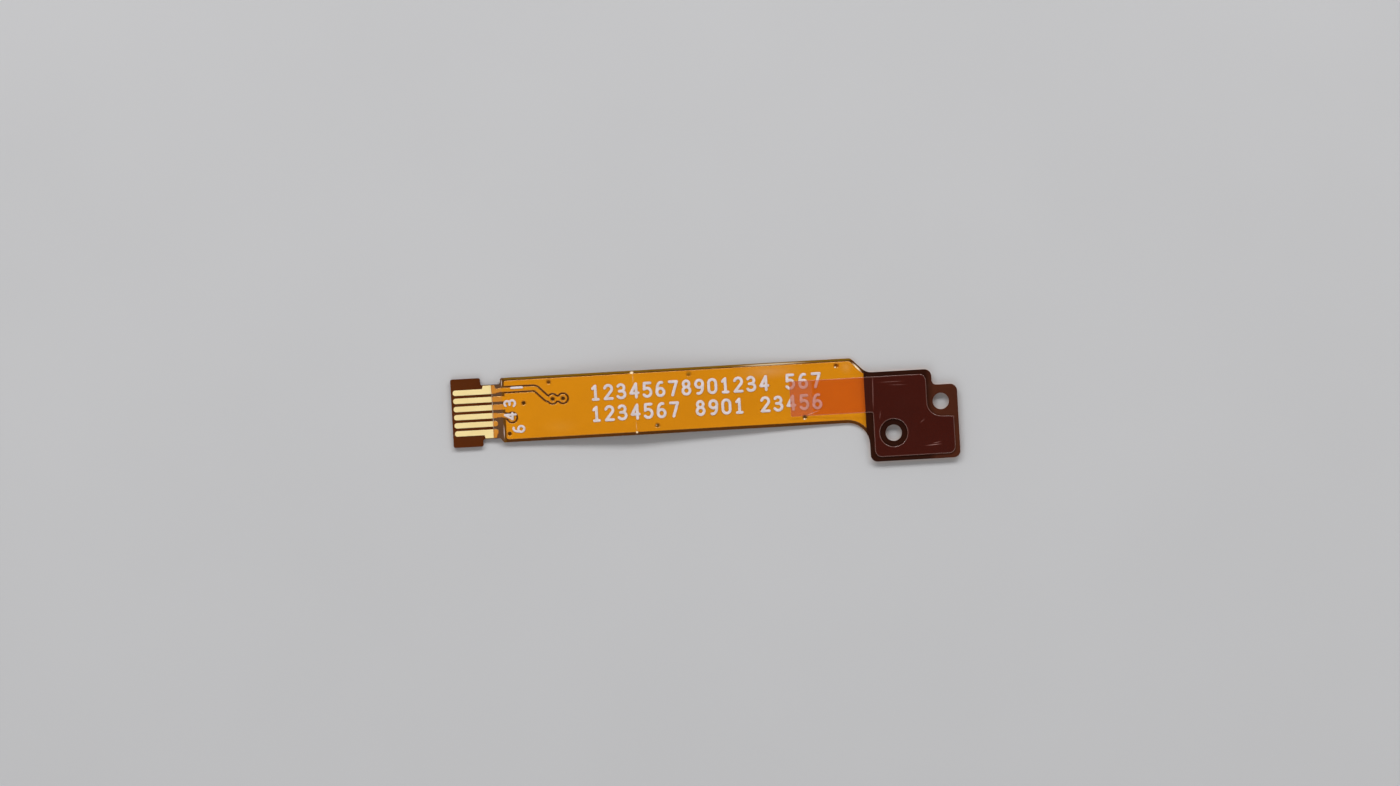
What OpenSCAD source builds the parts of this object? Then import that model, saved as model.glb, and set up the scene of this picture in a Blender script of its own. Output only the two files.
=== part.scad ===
// Flat flex cable: a double-sided flexible printed circuit. One end is a row of bare contacts at
// 0.5 mm pitch, backed by a stiffener with two ears. The ribbon between the ends lies in a low bow.
// The far end is a stiffened pad with two locating holes, lands on its underside, and a mounting
// adhesive on top, still under its release liner and pull tab.
//
// The cable is laid out with the contact end's edge on x = 0 and the contact row centred on y = 0.
// It is then moved, so that the origin is under the middle of its box, on the surface it lies on.
// +X runs from the contacts to the pad, +Y across the row towards contact 1, and +Z up.

/* [Ribbon] */
// Length over everything, from the contact end to the pad's far edge
cable_length = 31; // [27:0.5:45]
// Width of the ribbon
ribbon_w = 3.96; // [3.8:0.02:4.6]
// Ribbon's centre line above the contact row's centre
ribbon_shift = 0.05; // [-0.05:0.05:0.2]
// Copper's distance from the film's edge
copper_margin = 0.18; // [0.12:0.01:0.24]

/* [Contact end] */
// Distance between neighbouring contacts
contact_pitch = 0.5; // [0.5:0.02:0.56]
// Width of a contact
contact_w = 0.33; // [0.26:0.01:0.36]
// Distance from the contact end's edge to the contacts
contact_inset = 0.12; // [0.05:0.01:0.3]
// Length of the end that the top coverlay leaves bare
bare_length = 2.48; // [2.3:0.02:2.7]
// Thickness from the contacts' top to the stiffener's underside, which the socket is made for
contact_end_t = 0.3; // [0.25:0.01:0.4]
// Length of the ears
ear_length = 1.83; // [1.4:0.01:2]
// Film beyond the outer contacts' centre lines, at the ears
ear_margin = 0.85; // [0.75:0.01:1]
// Film beyond the outer contacts' centre lines, at the neck
neck_margin = 0.41; // [0.4:0.01:0.5]
// How far the outer contacts widen towards the neck's edge
flare_w = 0.2; // [0.05:0.01:0.21]
// Distance from the contact end's edge to the ribbon's full width
neck_length = 3.05; // [3:0.01:3.2]
// Length of the contact stiffener
contact_stiffener_length = 2.9; // [2.6:0.02:3]
// Corner radius of the ears
ear_r = 0.12; // [0.05:0.01:0.2]

/* [Pad] */
// Length of the pad along the cable
pad_l = 5.5; // [5.3:0.05:7]
// Width of the pad across the cable
pad_w = 5.5; // [5.3:0.05:7]
// Step from the ribbon's upper edge down to the pad's upper edge
pad_drop = 0.93; // [0.7:0.01:1.2]
// Corner radius of the pad
pad_r = 0.42; // [0.3:0.01:0.5]
// Radius where the ribbon's lower edge runs into the pad
root_r = 1.35; // [0.8:0.05:1.6]
// Radius at the foot of the slanted shoulder
shoulder_r = 0.8; // [0.4:0.05:1]
// Length of the lower lug at the far end
lug_l = 1.53; // [1.4:0.01:1.7]
// Step from the pad's upper edge down to the lug's upper edge
lug_drop = 0.98; // [0.85:0.01:1.2]
// Distance from the pad's near edge back to the pad stiffener's straight edge
stiffener_lap = 0.17; // [0:0.01:0.3]

/* [Locating holes] */
// Diameter of both holes
hole_d = 1; // [0.8:0.05:1.1]
// Near hole's distance from the pad's near edge
near_hole_x = 1.48; // [1.4:0.01:1.6]
// Near hole's distance from the pad's lower edge
near_hole_y = 1.72; // [1.5:0.01:1.9]
// Far hole's distance from the pad's far edge
far_hole_x = 1.03; // [0.95:0.01:1.1]
// Far hole's distance from the lug's upper edge
far_hole_y = 1.02; // [0.95:0.01:1.2]

/* [Mounting adhesive and liner] */
// Adhesive's distance from the pad's edges
adhesive_margin = 0.28; // [0.2:0.01:0.4]
// Adhesive's distance from the edge of a hole
adhesive_hole_gap = 0.35; // [0.25:0.01:0.4]
// Length of the liner's pull tab
tab_l = 5.03; // [3.5:0.05:7]
// Width of the pull tab
tab_w = 2.18; // [1.5:0.02:2.6]
// Length of the pull tab's bent-up end
tab_end_l = 1.35; // [0.8:0.05:2]
// Height of the tab above the ribbon at its crease
tab_gap = 0.03; // [0.02:0.01:0.1]
// Height of the tab's tip above the ribbon
tab_lift = 0.12; // [0.06:0.01:0.4]

/* [Layers] */
// Thickness of the base film
base_t = 0.025; // [0.02:0.005:0.05]
// Thickness of the copper with its plating
copper_t = 0.03; // [0.02:0.005:0.04]
// Thickness of a coverlay film
cover_t = 0.025; // [0.02:0.005:0.04]
// Thickness of the coverlay's adhesive over the copper
bond_t = 0.02; // [0.015:0.005:0.03]
// Thickness of a stiffener's adhesive
stiffener_bond_t = 0.025; // [0.02:0.005:0.05]
// Thickness of the pad stiffener
pad_stiffener_t = 0.2; // [0.1:0.025:0.3]
// Thickness of the mounting adhesive
adhesive_t = 0.05; // [0.03:0.01:0.1]
// Thickness of the release liner
liner_t = 0.05; // [0.03:0.01:0.1]

/* [Tracks and vias] */
// Width of a track
track_w = 0.25; // [0.2:0.01:0.28]
// Gap etched between a track and the copper beside it
etch_gap = 0.1; // [0.08:0.01:0.12]
// Diameter of a via's land
land_d = 0.52; // [0.46:0.02:0.56]
// Diameter of a via's drilled hole
drill_d = 0.28; // [0.22:0.01:0.3]
// Thickness of the plating in a via
plating_t = 0.02; // [0.015:0.005:0.03]
// Distance between the stitching vias along the ribbon
stitch_pitch = 9.05; // [6:0.05:12]
// Length of a land on the pad's underside
pad_land_l = 1.2; // [0.8:0.05:1.3]
// Width of a land on the pad's underside
pad_land_w = 0.6; // [0.4:0.05:0.65]
// Distance between the lands on the pad's underside
pad_land_pitch = 1; // [0.95:0.01:1.1]

/* [Bow] */
// Height of the bow's crest above the surface, at the ribbon's underside
bow_height = 0.6; // [0.4:0.05:1.2]
// Distance from the contact end's edge to the crest
crest_x = 11.15; // [9:0.05:13]
// Bend radius at the crest
crest_r = 8; // [3:1:12]

/* [Hidden] */

// Contact row
contact_count = 6;
row_w = (contact_count - 1) * contact_pitch;
ear_y = row_w / 2 + ear_margin;
neck_y = row_w / 2 + neck_margin;
contact_r = contact_w * 0.45; // radius of a contact's nearly round front end
flare_x = 1.88;       // where the outer contacts widen
spare_end_x = 2.8;    // where the spare contacts end, under the coverlay
pour_x = neck_length + 0.22;
pour_r = 0.14;        // corner radius of the ground plane's near end
ribbon_top = ribbon_shift + ribbon_w / 2;
ribbon_bottom = ribbon_shift - ribbon_w / 2;

// Pad
pad_left = cable_length - pad_l;
pad_top = ribbon_top - pad_drop;
pad_bottom = pad_top - pad_w;
lug_left = cable_length - lug_l;
lug_top = pad_top - lug_drop;
lug_r = 0.3;          // radius in the corner under the pad's upper edge
shoulder_tip_r = 0.3; // radius where the ribbon's upper edge turns down
stiffener_left = pad_left - stiffener_lap;
near_hole = [pad_left + near_hole_x, pad_bottom + near_hole_y];
far_hole = [cable_length - far_hole_x, lug_top - far_hole_y];
copper_hole_gap = 0.25;

// Heights above the ribbon's underside
z_lower_copper = cover_t + bond_t;
z_base = z_lower_copper + copper_t;
z_upper_copper = z_base + base_t;
z_upper_film = z_upper_copper + copper_t;
z_upper_cover = z_upper_film + bond_t;
z_top = z_upper_cover + cover_t;
// Heights above the surface, on the pad
z_pad_stiffener = z_top + stiffener_bond_t;
z_adhesive = z_pad_stiffener + pad_stiffener_t;
z_liner = z_adhesive + adhesive_t;
// Heights above the surface, at the contact end
contact_lift = contact_end_t - z_upper_film;
contact_stiffener_t = contact_lift - stiffener_bond_t;

// Adhesive and liner
adhesive_left = pad_left + adhesive_margin;
adhesive_right = cable_length - adhesive_margin;
adhesive_top = pad_top - adhesive_margin;
adhesive_bottom = pad_bottom + adhesive_margin;
adhesive_hole_r = hole_d / 2 + adhesive_hole_gap;
tab_x = adhesive_left - tab_l;
crease_x = tab_x + tab_end_l;
adhesive_slant = 0.1; // fall of the adhesive's edge below the far hole
tab_r = 0.1;

// Tracks, each a list of the corners on its centre line
signal_y = row_w / 2 + 0.045;
via_y = contact_pitch * 1.14;
via_x = 6.22;
via_step = 0.64;
supply_vias = [[via_x, via_y], [via_x + via_step, via_y]];
signal_via = [3.68, via_y - 2 * contact_pitch];
pad_land_x = pad_left + 3;
pad_land_y = pad_bottom + 2.6;
window_inset = 0.1;   // how far the coverlay laps over a land on the pad's underside
land_lead = 0.35;     // straight length of track before a land
track_r = 0.4;        // radius of a track's bends
arc_step = 10;        // degrees between the points of a corner's arc
track_one = rounded_path([
    [bare_length, row_w / 2, 0],
    [bare_length + 0.35, row_w / 2, track_r],
    [bare_length + 0.5, signal_y, track_r],
    [via_x - 0.3 - (signal_y - via_y), signal_y, track_r],
    [via_x - 0.3, via_y, track_r],
    [via_x + via_step, via_y, 0]], arc_step);
track_four = [[bare_length, contact_y(4)], [bare_length + 0.6, contact_y(4)], signal_via];

// Stitching vias: three near the contact end, and a row along each edge of the ribbon
upper_stitch_y = ribbon_top - 0.4;
lower_stitch_y = ribbon_bottom + 0.52;
stitch_start = 8;         // the rows keep clear of the tracks up to here
upper_stitch_end = 1.82;  // from the pad's near edge back to the upper row's last via
lower_stitch_end = 3.9;   // from the pad's near edge back to the lower row's last via
stitch_vias = concat(
    [[3.47, lower_stitch_y], [4.43, via_y - 0.15], [6.03, upper_stitch_y]],
    [for (x = [pad_left - upper_stitch_end : -stitch_pitch : stitch_start]) [x, upper_stitch_y]],
    [for (x = [pad_left - lower_stitch_end : -stitch_pitch : stitch_start]) [x, lower_stitch_y]]);
all_vias = concat(stitch_vias, supply_vias, [signal_via]);

// Resolution
bend_step = 0.8;      // degrees between the facets of a bend
$fn = 48;
reach = 10;           // more than any height or half width of the cable

// Side view of the ribbon's underside: flat on the stiffener, up to the crest, and down to the pad
foot_r = 50;
contact_foot_x = 4.5;
pad_foot_x = pad_left - 2.3;
bend_line = rounded_path([
    [-1, contact_lift, 0],
    [contact_foot_x, contact_lift, foot_r],
    [crest_x, bow_height, crest_r],
    [pad_foot_x, 0, foot_r],
    [cable_length + 1, 0, 0]], bend_step);

// Side view of the liner's underside: level on the adhesive, down to the crease, and up to the tip
crease_r = 1;
liner_foot_r = 4;
liner_line = rounded_path([
    [tab_x - 1, over_ribbon(tab_x - 1, tab_lift), 0],
    [tab_x, over_ribbon(tab_x, tab_lift), 0],
    [crease_x, over_ribbon(crease_x, tab_gap), crease_r],
    [stiffener_left - 0.1, z_liner, liner_foot_r],
    [cable_length + 1, z_liner, 0]], bend_step);

// ---- Functions ----

// Centre line of a contact, counted from 1 at the upper end of the row
function contact_y(number) = row_w / 2 - (number - 1) * contact_pitch;

// Height at x, a gap above the ribbon's top face
function over_ribbon(x, gap) = lookup(x, [for (p = bend_line) [p.x, p.y]]) + z_top + gap;

function turned(v, angle) =
    [v.x * cos(angle) - v.y * sin(angle), v.x * sin(angle) + v.y * cos(angle)];

// Points of the arc that rounds corner b, between a and c, with radius r
function corner_arc(a, b, c, r, step) =
    let (
        u = (b - a) / norm(b - a),
        v = (c - b) / norm(c - b),
        turn = atan2(u.x * v.y - u.y * v.x, u * v),
        side = sign(turn),
        start = b - u * r * tan(abs(turn) / 2),
        spoke = side * r * [u.y, -u.x],
        count = max(1, ceil(abs(turn) / step))
    )
    r == 0 || turn == 0 ? [b] :
    [for (k = [0 : count]) start - spoke + turned(spoke, turn * k / count)];

function flat(p) = [p.x, p.y];

// Closed outline from corners [x, y, radius]
function rounded(corners, step = arc_step) =
    let (n = len(corners))
    [for (i = [0 : n - 1])
        each corner_arc(flat(corners[(i + n - 1) % n]), flat(corners[i]), flat(corners[(i + 1) % n]),
            corners[i][2], step)];

// Open line from corners [x, y, radius], whose two ends stay as they are
function rounded_path(corners, step) =
    let (last = len(corners) - 1)
    [flat(corners[0]),
        for (i = [1 : last - 1])
            each corner_arc(flat(corners[i - 1]), flat(corners[i]), flat(corners[i + 1]),
                corners[i][2], step),
        flat(corners[last])];

// Line parallel to a path, at distance d on its left, with mitred corners
function beside(path, d) =
    let (last = len(path) - 1)
    [for (i = [0 : last])
        let (
            before = path[max(i, 1)] - path[max(i, 1) - 1],
            after = path[min(i, last - 1) + 1] - path[min(i, last - 1)],
            n1 = [-before.y, before.x] / norm(before),
            n2 = [-after.y, after.x] / norm(after),
            m = (n1 + n2) / norm(n1 + n2)
        )
        path[i] + m * d / (m * n1)];

function reversed(list) = [for (i = [len(list) - 1 : -1 : 0]) list[i]];

// Corners of the ribbon's far part and the pad, counter-clockwise, with every edge moved in by e
function far_corners(e) = [
    [pad_left + e, ribbon_bottom + e, root_r + e],
    [pad_left + e, pad_bottom + e, pad_r - e],
    [cable_length - e, pad_bottom + e, pad_r - e],
    [cable_length - e, lug_top - e, pad_r - e],
    [lug_left - e, lug_top - e, lug_r + e],
    [lug_left - e, pad_top - e, pad_r - e],
    [pad_left - e * tan(22.5), pad_top - e, shoulder_r + e],
    [pad_left - pad_drop - e * tan(22.5), ribbon_top - e, shoulder_tip_r - e]];

// Corners of the contact end, from the ribbon's upper corner round to its lower corner
function contact_end_corners() = [
    [neck_length, ribbon_top, ear_r],
    [neck_length, neck_y, ear_r],
    [ear_length, neck_y, ear_r],
    [ear_length, ear_y, ear_r],
    [0, ear_y, ear_r],
    [0, -ear_y, ear_r],
    [ear_length, -ear_y, ear_r],
    [ear_length, -neck_y, ear_r],
    [neck_length - 0.15, -neck_y, ear_r],
    [neck_length + 0.05, ribbon_bottom, ear_r]];

// ---- Flat shapes ----

module film_outline() polygon(rounded(concat(contact_end_corners(), far_corners(0))));

module pour_outline() polygon(rounded(concat(
    [[pour_x, ribbon_top - copper_margin, pour_r], [pour_x, ribbon_bottom + copper_margin, pour_r]],
    far_corners(copper_margin))));

module right_of(x) translate([x, -reach]) square([cable_length + reach - x, 2 * reach]);

module stroke(path, width)
    polygon(concat(beside(path, -width / 2), reversed(beside(path, width / 2))));

module discs(places, d) for (p = places) translate(p) circle(d = d);

module holes(d = hole_d) discs([near_hole, far_hole], d);

// A contact from its rounded front end to x = end_x
module contact(number, end_x, end_r = 0) {
    y = contact_y(number);
    polygon(rounded([
        [contact_inset, y - contact_w / 2, contact_r], [end_x, y - contact_w / 2, end_r],
        [end_x, y + contact_w / 2, end_r], [contact_inset, y + contact_w / 2, contact_r]]));
}

// The widening of an outer contact: side is 1 for the first contact and -1 for the last
module flare(side) {
    inner = row_w / 2;
    outer = inner + contact_w / 2 + flare_w;
    corners = [[flare_x, side * inner], [flare_x + flare_w / 2, side * outer],
        [bare_length + 0.2, side * outer], [bare_length + 0.3, side * inner]];
    polygon(side > 0 ? reversed(corners) : corners);
}

module track_one_shape(grow = 0) {
    stroke(track_one, track_w + 2 * grow);
    discs(supply_vias, land_d + 2 * grow);
}

module track_four_shape(grow = 0) {
    stroke(track_four, track_w + 2 * grow);
    discs([signal_via], land_d + 2 * grow);
}

// Track on the underside, from the via at start to the pad's land at the given place in the row
module lower_track_shape(start, place, grow = 0) {
    land = [pad_land_x, pad_land_y + place * pad_land_pitch];
    bend_x = land.x - pad_land_l / 2 - land_lead;
    stroke(rounded_path([
        [start.x, start.y, 0],
        [bend_x - abs(start.y - land.y), start.y, track_r],
        [bend_x, land.y, track_r],
        [land.x, land.y, 0]], arc_step), track_w + 2 * grow);
    translate(land) square([pad_land_l, pad_land_w] + 2 * grow * [1, 1], center = true);
}

module supply_shape(grow = 0) {
    lower_track_shape(supply_vias[0], 1, grow);
    discs(supply_vias, land_d + 2 * grow);
}

module signal_shape(grow = 0) {
    lower_track_shape(signal_via, 0, grow);
    discs([signal_via], land_d + 2 * grow);
}

module upper_pour_shape() {
    difference() {
        union() {
            pour_outline();
            contact(2, pour_x + 0.1);
            contact(3, pour_x + 0.1);
        }
        track_one_shape(etch_gap);
        track_four_shape(etch_gap);
        holes(hole_d + 2 * copper_hole_gap);
    }
}

module lower_pour_shape() {
    difference() {
        pour_outline();
        supply_shape(etch_gap);
        signal_shape(etch_gap);
        holes(hole_d + 2 * copper_hole_gap);
    }
}

module signal_one_shape() {
    contact(1, bare_length + 0.3);
    flare(1);
    track_one_shape();
}

module signal_four_shape() {
    contact(4, bare_length + 0.3);
    track_four_shape();
}

module spare_shapes() {
    contact(5, spare_end_x, contact_r);
    contact(6, spare_end_x, contact_r);
    flare(-1);
}

module upper_copper_shapes() {
    signal_one_shape();
    signal_four_shape();
    spare_shapes();
    upper_pour_shape();
}

module lower_copper_shapes() {
    supply_shape();
    signal_shape();
    lower_pour_shape();
}

// Openings over the lands on the pad's underside
module land_windows()
    for (place = [-1 : 1])
        translate([pad_land_x, pad_land_y + place * pad_land_pitch])
            square([pad_land_l, pad_land_w] - 2 * window_inset * [1, 1], center = true);

module adhesive_corners_shape(near_corners) {
    difference() {
        polygon(rounded(concat(near_corners, [
            [adhesive_left, adhesive_bottom, pad_r],
            [adhesive_right, adhesive_bottom, pad_r],
            [adhesive_right, far_hole.y - adhesive_hole_r - adhesive_slant, tab_r],
            [far_hole.x - adhesive_hole_r, far_hole.y - adhesive_hole_r, adhesive_hole_r],
            [far_hole.x - adhesive_hole_r, adhesive_top, pad_r]])));
        translate(near_hole) circle(adhesive_hole_r);
    }
}

// ---- Solids ----

// Places the finished cable
module placed()
    translate([-cable_length / 2, -(max(ear_y, ribbon_top) + pad_bottom) / 2, 0]) children();

// A layer that follows a side view: its flat shape, between two heights above that line
module layer(low, high, line = bend_line)
    placed() intersection() {
        translate([0, 0, -1]) linear_extrude(reach) children();
        rotate([90, 0, 0]) translate([0, 0, -reach]) linear_extrude(2 * reach)
            polygon(concat([for (p = line) p + [0, low]], reversed([for (p = line) p + [0, high]])));
    }

module plate(low, high) placed() translate([0, 0, low]) linear_extrude(high - low) children();

module base_film()
    color("orange") layer(z_base, z_upper_copper) difference() {
        film_outline();
        holes();
        discs(all_vias, drill_d);
    }

module signal_track_one()
    color("gold") layer(z_upper_copper, z_upper_film) difference() {
        signal_one_shape();
        discs(supply_vias, drill_d);
    }

module ground_plane()
    color("goldenrod") layer(z_upper_copper, z_upper_film) difference() {
        upper_pour_shape();
        discs(stitch_vias, drill_d);
    }

module signal_track_four()
    color("gold") layer(z_upper_copper, z_upper_film) difference() {
        signal_four_shape();
        discs([signal_via], drill_d);
    }

module spare_contacts() color("gold") layer(z_upper_copper, z_upper_film) spare_shapes();

module lower_supply_track()
    color("gold") layer(z_lower_copper, z_base) difference() {
        supply_shape();
        discs(supply_vias, drill_d);
    }

module lower_signal_track()
    color("gold") layer(z_lower_copper, z_base) difference() {
        signal_shape();
        discs([signal_via], drill_d);
    }

module lower_ground_plane()
    color("goldenrod") layer(z_lower_copper, z_base) difference() {
        lower_pour_shape();
        discs(stitch_vias, drill_d);
    }

// Plated tubes that join the two copper layers
module via_barrels()
    color("darkgoldenrod") layer(z_lower_copper, z_upper_film) difference() {
        discs(all_vias, drill_d);
        discs(all_vias, drill_d - 2 * plating_t);
    }

// Coverlay adhesive: a sheet over the copper, which also fills the etched gaps
module upper_bond()
    color("darkorange") {
        layer(z_upper_film, z_upper_cover) difference() {
            intersection() { film_outline(); right_of(bare_length); }
            holes();
        }
        layer(z_upper_copper, z_upper_film) difference() {
            intersection() { film_outline(); right_of(bare_length); }
            holes();
            upper_copper_shapes();
        }
    }

module top_coverlay()
    color("orange") layer(z_upper_cover, z_top) difference() {
        intersection() { film_outline(); right_of(bare_length); }
        holes();
    }

module lower_bond()
    color("darkorange") {
        layer(cover_t, z_lower_copper) difference() {
            film_outline();
            holes();
            land_windows();
        }
        layer(z_lower_copper, z_base) difference() {
            film_outline();
            holes();
            lower_copper_shapes();
        }
    }

module bottom_coverlay()
    color("orange") layer(0, cover_t) difference() {
        film_outline();
        holes();
        land_windows();
    }

module contact_stiffener_shape() difference() {
    film_outline();
    right_of(contact_stiffener_length);
}

module pad_stiffener_shape() difference() {
    intersection() { film_outline(); right_of(stiffener_left); }
    holes();
}

module contact_stiffener()
    color("saddlebrown") plate(0, contact_stiffener_t) contact_stiffener_shape();

module contact_stiffener_bond()
    color("peru") plate(contact_stiffener_t, contact_lift) contact_stiffener_shape();

module pad_stiffener()
    color("saddlebrown") plate(z_pad_stiffener, z_adhesive) pad_stiffener_shape();

module pad_stiffener_bond()
    color("peru") plate(z_top, z_pad_stiffener) pad_stiffener_shape();

module mounting_adhesive()
    color("maroon") plate(z_adhesive, z_liner)
        adhesive_corners_shape([[adhesive_left, adhesive_top, pad_r]]);

module release_liner()
    color("tomato") layer(0, liner_t, liner_line)
        adhesive_corners_shape([
            [tab_x, adhesive_top, tab_r],
            [tab_x, adhesive_top - tab_w, tab_r],
            [adhesive_left, adhesive_top - tab_w, tab_r]]);

base_film();
signal_track_one();
ground_plane();
signal_track_four();
spare_contacts();
lower_supply_track();
lower_signal_track();
lower_ground_plane();
via_barrels();
upper_bond();
top_coverlay();
lower_bond();
bottom_coverlay();
contact_stiffener();
contact_stiffener_bond();
pad_stiffener();
pad_stiffener_bond();
mounting_adhesive();
release_liner();
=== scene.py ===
"""Flat flex cable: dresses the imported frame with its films, copper, stiffeners, liner and print.

The frame's own nodes keep their place and size. Pieces whose faces or edges catch the light are shaped
here from merged copies of their nodes, and stand in for them.
"""
import logging
import math
from contextlib import contextmanager
from dataclasses import dataclass, field, replace
from enum import Enum
from functools import cache
from typing import Callable, Iterator, Sequence

import bpy
from mathutils import Euler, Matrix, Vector

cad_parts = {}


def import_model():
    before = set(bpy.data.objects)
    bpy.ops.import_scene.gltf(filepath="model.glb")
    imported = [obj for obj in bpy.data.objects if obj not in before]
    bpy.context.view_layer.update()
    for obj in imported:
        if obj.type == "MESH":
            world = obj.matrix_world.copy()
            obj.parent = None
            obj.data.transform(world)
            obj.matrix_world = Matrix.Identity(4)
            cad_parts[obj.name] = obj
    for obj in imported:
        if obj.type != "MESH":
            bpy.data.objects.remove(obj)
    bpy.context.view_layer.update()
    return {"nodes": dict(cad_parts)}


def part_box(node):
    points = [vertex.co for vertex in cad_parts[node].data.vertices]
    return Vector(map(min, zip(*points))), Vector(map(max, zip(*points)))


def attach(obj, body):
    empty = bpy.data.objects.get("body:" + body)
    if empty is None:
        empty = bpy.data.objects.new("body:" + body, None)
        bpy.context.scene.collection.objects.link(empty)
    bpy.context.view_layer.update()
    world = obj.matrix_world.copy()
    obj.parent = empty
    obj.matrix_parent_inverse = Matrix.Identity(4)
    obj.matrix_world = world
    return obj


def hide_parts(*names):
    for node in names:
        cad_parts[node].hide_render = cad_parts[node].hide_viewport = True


Pair = tuple[float, float]
Point = tuple[float, float]
Colour = tuple[float, float, float]
Material = bpy.types.Material
Node = bpy.types.Node
Object = bpy.types.Object
Socket = bpy.types.NodeSocket
Tree = bpy.types.ShaderNodeTree
FaceTest = Callable[[bpy.types.MeshPolygon], bool]
Number = float | Socket
Value = float | Colour | Vector | Socket

LOG = logging.getLogger("flex_cable")
MM = 0.001
UP = Vector((0.0, 0.0, 1.0))
WHITE: Colour = (1.0, 1.0, 1.0)
UPPER_COPPER = ("signal_track_one", "ground_plane", "signal_track_four", "spare_contacts")
LOWER_COPPER = ("lower_supply_track", "lower_signal_track", "lower_ground_plane")

# How far a face's normal points along Z: a moved face, one that the bow shades, and one that it may touch
LEVEL, FLAT, TILTED = 0.7, 0.97, 0.3


# ---- Node trees and the shared effects ----


class Wiring:
    """A node tree, with short ways to place and wire its nodes."""

    def __init__(self, tree: Tree) -> None:
        """Take on a node tree."""
        self.tree = tree

    def feed(self, target: Socket, value: Value) -> None:
        """Link an input to a socket, or set its value.

        Args:
            target: The input.
            value: The socket or the value.
        """
        if isinstance(value, Socket):
            self.tree.links.new(value, target)
        else:
            target.default_value = (*value, 1.0) if target.type == "RGBA" else value

    def add(self, kind: str, *values: Value, settings: dict[str, object] | None = None,
            **named: Value) -> Node:
        """Place a node.

        Args:
            kind: The node's type, without the ShaderNode before it.
            *values: Its first inputs.
            settings: Its settings, such as its operation.
            **named: Its inputs by name, with underscores for spaces.

        Returns:
            The node.
        """
        node = self.tree.nodes.new(f"ShaderNode{kind}")
        for name, setting in (settings or {}).items():
            setattr(node, name, setting)
        for index, value in enumerate(values):
            self.feed(node.inputs[index], value)
        for name, value in named.items():
            self.feed(node.inputs[name.replace("_", " ")], value)
        return node

    def math(self, operation: str, *values: Number, clamp: bool = False) -> Socket:
        """Place a Math node, whose result may be clamped to 0 and 1, and return its output."""
        return self.add("Math", *values, settings={"operation": operation, "use_clamp": clamp}).outputs[0]

    def vector(self, operation: str, *values: Value, output: str = "Vector") -> Socket:
        """Place a Vector Math node, and return its output of that name."""
        return self.add("VectorMath", *values, settings={"operation": operation}).outputs[output]

    def turned(self, vector: Socket, angle: Number) -> Socket:
        """Turn a vector about Z by an angle in radians."""
        settings = {"rotation_type": "Z_AXIS"}
        return self.add("VectorRotate", Vector=vector, Angle=angle, settings=settings).outputs[0]

    def mix(self, factor: Number, first: Colour | Socket, second: Colour | Socket) -> Socket:
        """Mix two colours.

        Args:
            factor: 0 for the first and 1 for the second.
            first: A colour.
            second: Another colour.

        Returns:
            The mixed colour.
        """
        node = self.add("Mix", factor, settings={"data_type": "RGBA"})
        first_colour, second_colour, mixed = node.inputs[6], node.inputs[7], node.outputs[2]
        self.feed(first_colour, first)
        self.feed(second_colour, second)
        return mixed


class Shared(Enum):
    """The effects that several finishes use, each a node group that is built once."""

    GRAIN = "grain"
    TONE = "tone"
    SCRATCHES = "scratches"
    BEYOND = "beyond"
    FACING = "facing"
    SPOT = "spot"


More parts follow.
